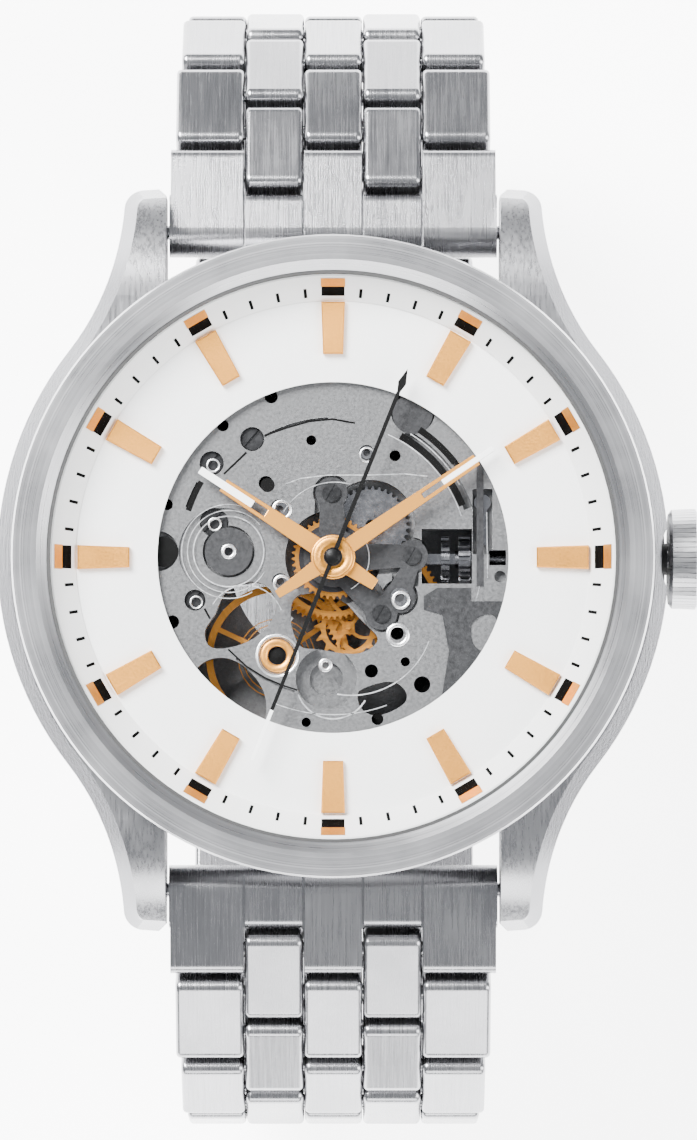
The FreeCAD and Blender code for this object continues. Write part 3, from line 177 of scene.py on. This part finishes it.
MATS["plate"] = metal("plate_blasted", (0.135, 0.135, 0.138), 0.42, (5200, 5200, 5200), 0.6, 0.22,
                      False, 0.75, 0.3).mat
# Painted highlight: pale steel put on plate edges, rims and rings so they read bright.
MATS["painted_highlight"] = metal("plate_edge_painted_highlight", (0.80, 0.80, 0.81), 0.3, (3000, 3000, 3000), 0.1).mat
MATS["bracket"] = metal("bracket_dark", (0.035, 0.035, 0.037), 0.42, (4200, 4200, 4200), 0.4, 0.25,
                        False, 0.7, 0.2).mat
MATS["brass"] = metal("gilt_brass", GILT_TONE, 0.32, (4000, 0, 0), 0.2, 0.14, True).mat
MATS["pivot"] = metal("pivot_steel", (0.26, 0.26, 0.275), 0.24, (3000, 3000, 3000), 0.15).mat
MATS["screw"] = metal("screw_dark", (0.05, 0.05, 0.052), 0.32, (3000, 3000, 3000), 0.15).mat


def plain(name, colour, rough, bump=0.1, speck=0.03, coat=0.0, grain=2500):
    """Painted, lacquered or rubber surface with fine texture and uneven sheen."""
    tree = Tree(name)
    fine = tree.noise(tree.scaled(grain, grain, grain), 1.0, 6.0, 0.65)
    cloud = tree.noise(tree.scaled(130, 130, 130), 1.0, 4.0)
    dark = tuple(c * (1 - speck) for c in colour)
    base = tree.mix(tree.spread(fine, 0, 1, 0.35, 0.65), dark, colour)
    base = tree.mix(tree.spread(cloud, 0, 0.35, 0.5, 0.8), base, tuple(c * (1 - 1.6 * speck) for c in colour))
    tree.set("Base Color", base)
    tree.set("Roughness", tree.spread(cloud, rough * 0.85, rough * 1.15, 0.3, 0.7))
    tree.bsdf.inputs["Coat Weight"].default_value = coat
    tree.bump(fine, bump, 0.00001)
    return tree


MATS["dial"] = plain("dial_white", (0.80, 0.80, 0.795), 0.42, 0.08, 0.02).mat
MATS["flange"] = plain("flange_white", (0.76, 0.76, 0.755), 0.45, 0.08, 0.02).mat
MATS["lume"] = plain("lume_white", LUME_TONE, 0.6, 0.25, 0.03).mat
MATS["black"] = plain("black_lacquer", (0.001, 0.001, 0.001), 0.45, 0.1, 0.3).mat
MATS["ink"] = plain("printed_black", (0.001, 0.001, 0.001), 0.7, 0.1, 0.3).mat
MATS["rubber"] = plain("gasket_rubber", (0.03, 0.03, 0.03), 0.6, 0.2, 0.3).mat
# Painted shade: near-black put in holes, grooves, slots and recesses.
MATS["painted_shade"] = plain("recess_painted_shade", (0.002, 0.002, 0.002), 0.8, 0.2, 0.3).mat
for look, level in (("ink", 0.05), ("black", 0.15), ("painted_shade", 0.1)):
    shader = MATS[look].node_tree.nodes["Principled BSDF"]
    shader.inputs["Specular IOR Level"].default_value = level


def glass(name):
    """Clear crystal: a faint smear and dust pattern in its gloss."""
    tree = Tree(name)
    smear = tree.noise(tree.scaled(90, 60, 90), 1.0, 5.0, 0.6)
    dust = tree.noise(tree.scaled(5200, 5200, 5200), 1.0, 2.0)
    clear = tree.nodes.new("ShaderNodeBsdfTransparent")
    clear.inputs[0].default_value = (0.995, 0.998, 0.998, 1)
    shine = tree.nodes.new("ShaderNodeBsdfGlossy")
    shine.inputs["Color"].default_value = (1, 1, 1, 1)
    tree.links.new(tree.spread(smear, 0.015, 0.07, 0.3, 0.8), shine.inputs["Roughness"])
    amount = tree.math("ADD", tree.spread(smear, 0.0002, 0.0012, 0.3, 0.8),
                       tree.spread(dust, 0.0, 0.002, 0.76, 0.86), True)
    blend = tree.nodes.new("ShaderNodeMixShader")
    tree.links.new(amount, blend.inputs[0])
    tree.links.new(clear.outputs[0], blend.inputs[1])
    tree.links.new(shine.outputs[0], blend.inputs[2])
    tree.links.new(blend.outputs[0], tree.out.inputs[0])
    tree.nodes.remove(tree.bsdf)
    return tree.mat


MATS["glass"] = glass("crystal_clear")


def case_polish_and_painted_reflection():
    """Satin flanks and lugs, with the long bevel between them polished and coloured darker as a painted dark
    reflection; the bevel is found by its slope.
    """
    tree = metal("case_satin_polish_painted_reflection", (0.32, 0.32, 0.33), 0.28, (6000, 500, 7000), 0.2)
    normal = tree.nodes.new("ShaderNodeSeparateXYZ")
    tree.links.new(tree.nodes.new("ShaderNodeNewGeometry").outputs["True Normal"], normal.inputs[0])
    up = normal.outputs[2]
    out = tree.math("SQRT", tree.math("ADD", tree.math("MULTIPLY", normal.outputs[0], normal.outputs[0]),
                                      tree.math("MULTIPLY", normal.outputs[1], normal.outputs[1])))
    sloped = tree.math("MULTIPLY", tree.math("GREATER_THAN", up, 0.45), tree.math("GREATER_THAN", out, 0.5))
    wide = tree.math("GREATER_THAN", tree.math("ABSOLUTE", normal.outputs[0]), 0.2)
    mask = tree.math("MULTIPLY", sloped, wide)
    brushed = tree.bsdf.inputs["Roughness"].links[0].from_socket
    satin = tree.math("MULTIPLY", brushed, tree.math("SUBTRACT", 1.0, mask))
    tree.set("Roughness", tree.math("ADD", satin, tree.math("MULTIPLY", mask, 0.12)))
    base = tree.bsdf.inputs["Base Color"].links[0].from_socket
    # Painted dark reflection: the polished bevel gets a darker base colour; its low roughness is the real
    # polish.
    tree.set("Base Color", tree.mix(mask, base, (0.22, 0.22, 0.23)))
    return tree.mat


MATS["case"] = case_polish_and_painted_reflection()


def switched(name, first, second, chooser):
    """Two finishes on one node, chosen by a 0 to 1 mask built from the object's own coordinates."""
    tree = Tree(name)
    mask = chooser(tree)
    for socket in ("Base Color", "Roughness"):
        one, two = first[socket], second[socket]
        if socket == "Base Color":
            tree.set(socket, tree.mix(mask, one, two))
        else:
            tree.set(socket, tree.math("ADD", one, tree.math("MULTIPLY", mask, two - one)))
    tree.set("Metallic", tree.math("ADD", first["Metallic"],
                                   tree.math("MULTIPLY", mask, second["Metallic"] - first["Metallic"])))
    grain = tree.noise(tree.scaled(7000, 7000, 900), 1.0, 5.0, 0.7)
    tree.bump(grain, 0.2, 0.00002)
    if first["Metallic"] == 0.0:
        tree.bsdf.inputs["Specular IOR Level"].default_value = 0.12
    return tree.mat


def finish_of(colour, rough, metallic):
    return {"Base Color": colour, "Roughness": rough, "Metallic": metallic}


def along(tree, angle):
    """Distance along a hand and across it, from the object's coordinates; angle is clockwise from 12."""
    x, y, z = tree.split()
    turn = math.radians(90 - angle)
    c, s = math.cos(turn), math.sin(turn)
    run = tree.math("ADD", tree.math("MULTIPLY", x, c), tree.math("MULTIPLY", y, s))
    side = tree.math("ADD", tree.math("MULTIPLY", x, -s), tree.math("MULTIPLY", y, c))
    return run, tree.math("ABSOLUTE", side)


def lume_mask(angle, start, half):
    def chooser(tree):
        run, side = along(tree, angle)
        past = tree.math("GREATER_THAN", run, start * MM)
        return tree.math("MULTIPLY", past, tree.math("LESS_THAN", side, half * MM))
    return chooser


GOLD = finish_of(GOLD_TONE, 0.36, 0.9)
WHITE = finish_of(LUME_TONE, 0.6, 0.0)
BLACK = finish_of((0.001, 0.001, 0.001), 0.5, 0.0)
DARK = finish_of((0.022, 0.022, 0.025), 0.4, 0.7)
GILT = finish_of(GILT_TONE, 0.32, 1.0)
MATS["hour_hand"] = switched("hour_hand_gold", GOLD, WHITE, lume_mask(303.25, 5.69, 0.226))
MATS["minute_hand"] = switched("minute_hand_gold", GOLD, WHITE, lume_mask(55.9, 7.85, 0.166))
MATS["seconds_hand"] = switched("seconds_black", BLACK, WHITE, lume_mask(201.7, 9.8, 1.0))
MATS["hour_wheel"] = switched("hour_wheel_gilt", GILT, DARK,
                              lambda tree: tree.math("GREATER_THAN", tree.split()[2], 7.21 * MM))

NODE_LOOK = {
    "mid_case": "case", "bezel": "bezel", "case_back": "bezel", "crown": "crown", "crystal": "glass",
    "case_back_glass": "glass", "crystal_gasket": "rubber", "crown_gasket": "rubber", "dial": "dial",
    "flange_ring": "flange", "hour_markers": "gold", "hour_hand": "hour_hand", "minute_hand": "minute_hand",
    "seconds_hand": "seconds_hand", "main_plate": "plate", "train_bridge": "plate", "balance_cock": "plate",
    "rotor": "plate", "motion_cover": "bracket", "keyless_cover": "bracket", "hour_wheel": "hour_wheel",
    "third_wheel": "brass", "fourth_wheel": "brass", "centre_wheel": "brass", "escape_wheel": "brass",
    "mainspring_barrel": "brass", "balance_wheel": "brass", "cannon_pinion": "pivot", "minute_wheel": "pivot",
    "pallet_fork": "pivot", "winding_stem": "pivot", "sliding_pinion": "pivot", "winding_pinion": "pivot",
    "setting_lever": "pivot", "plate_screws": "screw", "spring_bars": "pivot", "jewels": "pivot",
    "clasp_cover": "clasp", "clasp_blade_outer": "clasp", "clasp_blade_inner": "clasp",
    "clasp_button_left": "crown", "clasp_button_right": "crown",
}


def dress(obj, *names):
    obj.data.materials.clear()
    for name in names:
        obj.data.materials.append(MATS[name])


def soften(obj, width, segments=2, material=-1):
    """Rounds hard edges of a CAD node by a hair so that they catch light; with a material slot given, the
    rounded faces take that slot's colour, which on the main plate is a painted highlight.
    """
    weld = obj.modifiers.new("weld", "WELD")
    weld.merge_threshold = 1e-6
    bevel = obj.modifiers.new("edge", "BEVEL")
    bevel.width = width
    bevel.segments = segments
    bevel.limit_method = "ANGLE"
    bevel.angle_limit = math.radians(40)
    bevel.material = material
    bevel.harden_normals = False


for name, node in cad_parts.items():
    if name.startswith(("link_row", "end_link")):
        dress(node, "links")
    else:
        dress(node, NODE_LOOK[name], *(["painted_highlight"] if name == "main_plate" else []))
# The main plate's rounded edges take its second slot, the painted highlight colour.
soften(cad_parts["main_plate"], 0.06 * MM, 1, 1)
soften(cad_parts["motion_cover"], 0.05 * MM, 1)
soften(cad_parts["hour_hand"], 0.03 * MM, 1)
soften(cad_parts["minute_hand"], 0.03 * MM, 1)


def mesh_object(name, verts, faces, look, body, smooth=False):
    data = bpy.data.meshes.new(name)
    data.from_pydata([tuple(v) for v in verts], [], faces)
    data.update()
    for poly in data.polygons:
        poly.use_smooth = smooth
    obj = bpy.data.objects.new(name, data)
    bpy.context.scene.collection.objects.link(obj)
    obj.data.materials.append(MATS[look])
    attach(obj, body)
    return obj


def lathe(name, profile, look, body, centre=(0, 0), steps=96, smooth=True):
    """A turned piece: profile of (radius, height) in mm about a vertical axis."""
    verts, faces = [], []
    count = len(profile)
    for step in range(steps):
        turn = 2 * math.pi * step / steps
        for radius, height in profile:
            verts.append(((centre[0] + radius * math.cos(turn)) * MM,
                          (centre[1] + radius * math.sin(turn)) * MM, height * MM))
    for step in range(steps):
        after = (step + 1) % steps
        for row in range(count - 1):
            a, b = step * count + row, after * count + row
            faces.append((a, b, b + 1, a + 1))
    return mesh_object(name, verts, faces, look, body, smooth)


FLANGE_INNER, FLANGE_OUTER = (15.3, 8.52), (16.65, 10.25)
BALANCE = (-3.33, -5.83)
HOLE_SHADE_HEIGHT = 6.66


def flange_height(radius):
    """Height of the sloped flange ring at a radius, in mm."""
    share = (radius - FLANGE_INNER[0]) / (FLANGE_OUTER[0] - FLANGE_INNER[0])
    return FLANGE_INNER[1] + share * (FLANGE_OUTER[1] - FLANGE_INNER[1])


def flange_bars(name, look, angles, near, far, wide, lift):
    verts, faces = [], []
    for angle in angles:
        turn = math.radians(90 - angle)
        run, side = Vector((math.cos(turn), math.sin(turn), 0)), Vector((-math.sin(turn), math.cos(turn), 0))
        base = len(verts)
        for height in (0.0, lift):
            for radius in (near, far):
                for sign in (-1, 1):
                    spot = run * radius + side * (sign * wide / 2)
                    spot.z = flange_height(radius) + height
                    verts.append(spot * MM)
        for quad in ((4, 5, 7, 6), (0, 2, 3, 1), (0, 1, 5, 4), (2, 6, 7, 3), (0, 4, 6, 2), (1, 3, 7, 5)):
            faces.append(tuple(base + i for i in quad))
    return mesh_object(name, verts, faces, look, "head")


minutes = [6 * i for i in range(60) if i % 5]
flange_bars("minute_ticks", "ink", minutes, 15.5, 16.0, 0.19, 0.02)
flange_bars("hour_blocks", "ink", range(0, 360, 30), 15.55, 16.05, 1.37, 0.05)
flange_bars("hour_caps", "gold", range(0, 360, 30), 16.05, 16.5, 1.45, 0.07)
lathe("minute_hub_ring", [(1.2, 9.45), (1.2, 9.58), (1.1, 9.62), (0.8, 9.62), (0.72, 9.56), (0.56, 9.55)],
      "gold", "minute")
lathe("seconds_cap", [(0.52, 9.83), (0.52, 9.95), (0.42, 10.02), (0.0, 10.04)], "black", "seconds")
lathe("hour_hub_ring", [(1.32, 9.04), (1.32, 9.1), (1.25, 9.12), (0.97, 9.12)], "gold", "hour")
lathe("balance_setting_gold", [(1.0, 7.7), (1.0, 7.83), (0.9, 7.86), (0.62, 7.86), (0.54, 7.78), (0.54, 7.5)],
      "gold", "head", BALANCE)
# Painted highlight: a bright ring around the balance setting.
lathe("balance_setting_ring", [(1.3, 7.88), (1.28, 7.93), (1.2, 7.93), (1.1, 7.86), (1.04, 7.7)],
      "painted_highlight", "head", BALANCE)
# Painted shade: a black cap for the dark centre of the balance setting.
lathe("balance_stone", [(0.54, 7.55), (0.3, 7.62), (0.0, 7.64)], "painted_shade", "head", BALANCE)
HOLES = [
    (-6.57, 7.89, 0.36), (-3.69, 9.6, 0.4), (-4.0, 4.44, 0.43), (-9.88, 3.17, 0.34), (-9.56, -3.83, 0.4),
    (3.69, 6.08, 0.33), (3.81, -4.5, 0.4), (5.3, -7.55, 0.49), (2.28, -6.75, 0.4), (-1.6, -9.8, 0.28),
    (2.64, -9.6, 0.36), (4.3, -6.2, 0.28), (-1.3, 7.0, 0.3),
]
# Painted shade: black discs at the bottom of the plate holes.
for number, (x, y, radius) in enumerate(HOLES):
    lathe("hole_painted_shade_%d" % number, [(radius - 0.01, HOLE_SHADE_HEIGHT), (0.0, HOLE_SHADE_HEIGHT)], "painted_shade", "head",
          (x, y), 32, False)


# ------------------------------------------------------------------ lines and recesses of the movement: painted shade and painted highlights
PLATE_TOP = 7.9


def line_piece(name, path, wide, look, height):
    """A thin flat strip along a path of (x, y) in mm, used both for painted shade along grooves and slots and
    for painted highlights along edges.
    """
    verts, faces = [], []
    for number, (x, y) in enumerate(path):
        before, after = path[max(0, number - 1)], path[min(len(path) - 1, number + 1)]
        run = Vector((after[0] - before[0], after[1] - before[1], 0)).normalized()
        side = Vector((-run.y, run.x, 0)) * (wide / 2)
        for sign in (-1, 1):
            verts.append(((x + sign * side.x) * MM, (y + sign * side.y) * MM, height * MM))
        if number:
            base = 2 * number
            faces.append((base - 2, base - 1, base + 1, base))
    return mesh_object(name, verts, faces, look, "head")


def arc_path(radius, first, last, centre=(0, 0), steps=40):
    """Points on an arc; angles in degrees, counter-clockwise from 3 o'clock."""
    points = []
    for step in range(steps + 1):
        angle = math.radians(first + (last - first) * step / steps)
        points.append((centre[0] + radius * math.cos(angle), centre[1] + radius * math.sin(angle)))
    return points


BARREL = (-6.22, 0.37)
# Dark strips are painted shade in grooves and slots; pale strips are painted highlights along edges and rims.
LINES = [
    ("line_barrel_edge", arc_path(2.1, 0, 360, BARREL, 90), 0.07, "painted_highlight"),
    ("line_barrel_step", arc_path(2.45, 40, 330, BARREL, 90), 0.05, "painted_highlight"),
    ("line_barrel_rim", arc_path(2.8, 60, 300, BARREL, 90), 0.05, "painted_highlight"),
    ("groove_top_left", [(-6.5, 4.99), (-5.16, 6.27)], 0.12, "painted_shade"),
    ("groove_top", [(-4.08, 7.28), (-2.74, 7.75), (-1.39, 8.13), (-0.04, 8.26), (1.31, 8.02)], 0.11, "painted_shade"),
    ("groove_low", [(-6.24, -5.46), (-5.16, -6.47), (-4.08, -7.14), (-3.0, -7.61), (-2.13, -7.88)],
     0.1, "painted_shade"),
    ("groove_left", [(-7.65, -3.03), (-7.32, -3.64)], 0.12, "painted_shade"),
    ("slot_right_inner", arc_path(8.3, 22, 61), 0.42, "painted_shade"),
    ("slot_right_edge", arc_path(8.03, 18, 66), 0.06, "painted_highlight"),
    ("slot_right_outer", arc_path(9.2, 38, 56), 0.4, "painted_shade"),
    ("slot_right_rim", arc_path(8.7, 30, 58), 0.06, "painted_highlight"),
    ("slot_left", arc_path(9.06, 150, 162), 0.34, "painted_shade"),
    ("contour_upper", [(-2.87, 4.38), (-1.93, 4.72), (-0.31, 4.92), (2.12, 4.92), (4.27, 4.99), (5.62, 4.85)],
     0.07, "painted_highlight"),
    ("contour_hub", arc_path(2.15, -60, 30), 0.06, "painted_highlight"),
    ("contour_bridge", arc_path(3.5, 75, 150, (0.1, 1.0)), 0.06, "painted_highlight"),
    ("contour_right", [(8.65, 2.76), (8.68, 0.5), (8.7, -1.8), (8.3, -3.4), (7.6, -4.6)], 0.07, "painted_highlight"),
    ("contour_right_far", [(9.15, 2.7), (9.2, -1.2)], 0.05, "painted_highlight"),
    ("contour_low_right", arc_path(4.9, -100, -20, (1.1, -3.3)), 0.07, "painted_highlight"),
    ("contour_low", arc_path(9.35, -112, -70), 0.06, "painted_highlight"),
    ("contour_low_arc", arc_path(2.2, 200, 330, (0.0, -7.4)), 0.09, "painted_highlight"),
    ("contour_window", arc_path(2.25, 20, 150, (-5.2, -3.9)), 0.06, "painted_highlight"),
]
for name, path, wide, look in LINES:
    line_piece(name, path, wide, look, PLATE_TOP + (0.012 if look == "painted_shade" else 0.02))
# Painted shade: dark discs on the plate for its recesses.
for name, spot, inner, outer, height, look in (
        ("barrel_recess", BARREL, 0.45, 1.42, PLATE_TOP + 0.014, "bracket"),
        ("recess_upper_right", (4.74, 8.56), 0.0, 1.2, PLATE_TOP + 0.008, "bracket"),
        ("recess_left_edge", (-10.1, 0.35), 0.0, 0.9, PLATE_TOP + 0.014, "painted_shade"),
        ("recess_left_upper", (-3.9, 4.33), 0.0, 0.42, PLATE_TOP + 0.014, "painted_shade")):
    lathe(name, [(inner, height), (outer, height)], look, "head", spot, 64, False)
# Painted highlights: bright rings around the stones and screws.
for name, spot, inner, outer in (
        ("ring_train_stone", (-3.05, 2.85), 0.42, 0.62), ("ring_cover_stone", (4.03, -2.53), 0.38, 0.56),
        ("ring_upper_stone", (2.02, 6.13), 0.36, 0.48), ("ring_left_stone", (-3.05, -1.55), 0.36, 0.55),
        ("ring_low_left", (-0.45, -6.4), 0.2, 0.42), ("ring_low_right", (3.85, -4.6), 0.46, 0.72),
        ("ring_barrel_stone", BARREL, 0.26, 0.46), ("ring_left_screw", (-7.05, 2.0), 0.3, 0.42),
        ("ring_corner_screw", (-8.15, -2.65), 0.3, 0.4), ("ring_cap_screw", (-7.15, 5.5), 0.3, 0.42)):
    low = PLATE_TOP + (0.09 if name == "ring_cover_stone" else 0.02)
    lathe(name, [(outer, low), (outer - 0.03, low + 0.05), (inner + 0.04, low + 0.05), (inner, low)],
          "painted_highlight", "head", spot, 48)


# ------------------------------------------------------------------ floor, light and camera
def floor_material():
    tree = Tree("studio_floor")
    cloud = tree.noise(tree.scaled(14, 14, 14), 1.0, 3.0)
    tree.set("Base Color", tree.mix(cloud, (0.90, 0.90, 0.90), (0.93, 0.93, 0.93)))
    tree.set("Roughness", 0.8)
    tree.set("Emission Color", (1.0, 1.0, 1.0, 1.0))
    tree.bsdf.inputs["Emission Strength"].default_value = 5.0
    return tree.mat


bpy.ops.mesh.primitive_plane_add(size=3.0, location=(0, 0, -0.0322))
floor = bpy.context.object
floor.name = "studio_floor"
floor.data.materials.append(floor_material())
floor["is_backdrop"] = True

world = bpy.data.worlds.new("studio")
bpy.context.scene.world = world
world.use_nodes = True
world.node_tree.nodes["Background"].inputs[0].default_value = (0.92, 0.95, 1.0, 1)
world.node_tree.nodes["Background"].inputs[1].default_value = 0.65


def softbox(name, spot, aim, wide, tall, watts, colour=(1, 1, 1)):
    data = bpy.data.lights.new(name, "AREA")
    data.shape = "RECTANGLE"
    data.size, data.size_y = wide, tall
    data.energy = watts
    data.color = colour
    obj = bpy.data.objects.new(name, data)
    bpy.context.scene.collection.objects.link(obj)
    obj.location = spot
    obj.rotation_euler = (Vector(aim) - Vector(spot)).to_track_quat("-Z", "Y").to_euler()
    return obj


softbox("key", (-0.30, 0.34, 0.50), (0, 0, 0), 0.30, 0.40, 24.0)
softbox("fill", (0.45, -0.10, 0.45), (0, 0, 0), 0.3, 0.5, 6.0)
softbox("back", (0.0, -0.5, 0.30), (0, 0, -0.01), 0.6, 0.25, 4.0)

DISTANCE = 0.45
PIXELS_HIGH, PIXELS_PER_MM, SENSOR = 1140, 16.8, 36.0
TILT = math.radians(2.0)
target = Vector((0.92, -0.74, 8.0)) * MM
camera_data = bpy.data.cameras.new("photo_camera")
camera = bpy.data.objects.new("photo_camera", camera_data)
bpy.context.scene.collection.objects.link(camera)
camera.location = target + Vector((0, -math.sin(TILT), math.cos(TILT))) * DISTANCE
camera.rotation_euler = (TILT, 0, 0)
camera_data.sensor_width = SENSOR
camera_data.lens = SENSOR * DISTANCE / (PIXELS_HIGH / PIXELS_PER_MM * MM)
camera_data.clip_start = 0.01
camera_data.clip_end = 10.0
camera_data.dof.use_dof = False
bpy.context.scene.camera = camera

note_size("shown")
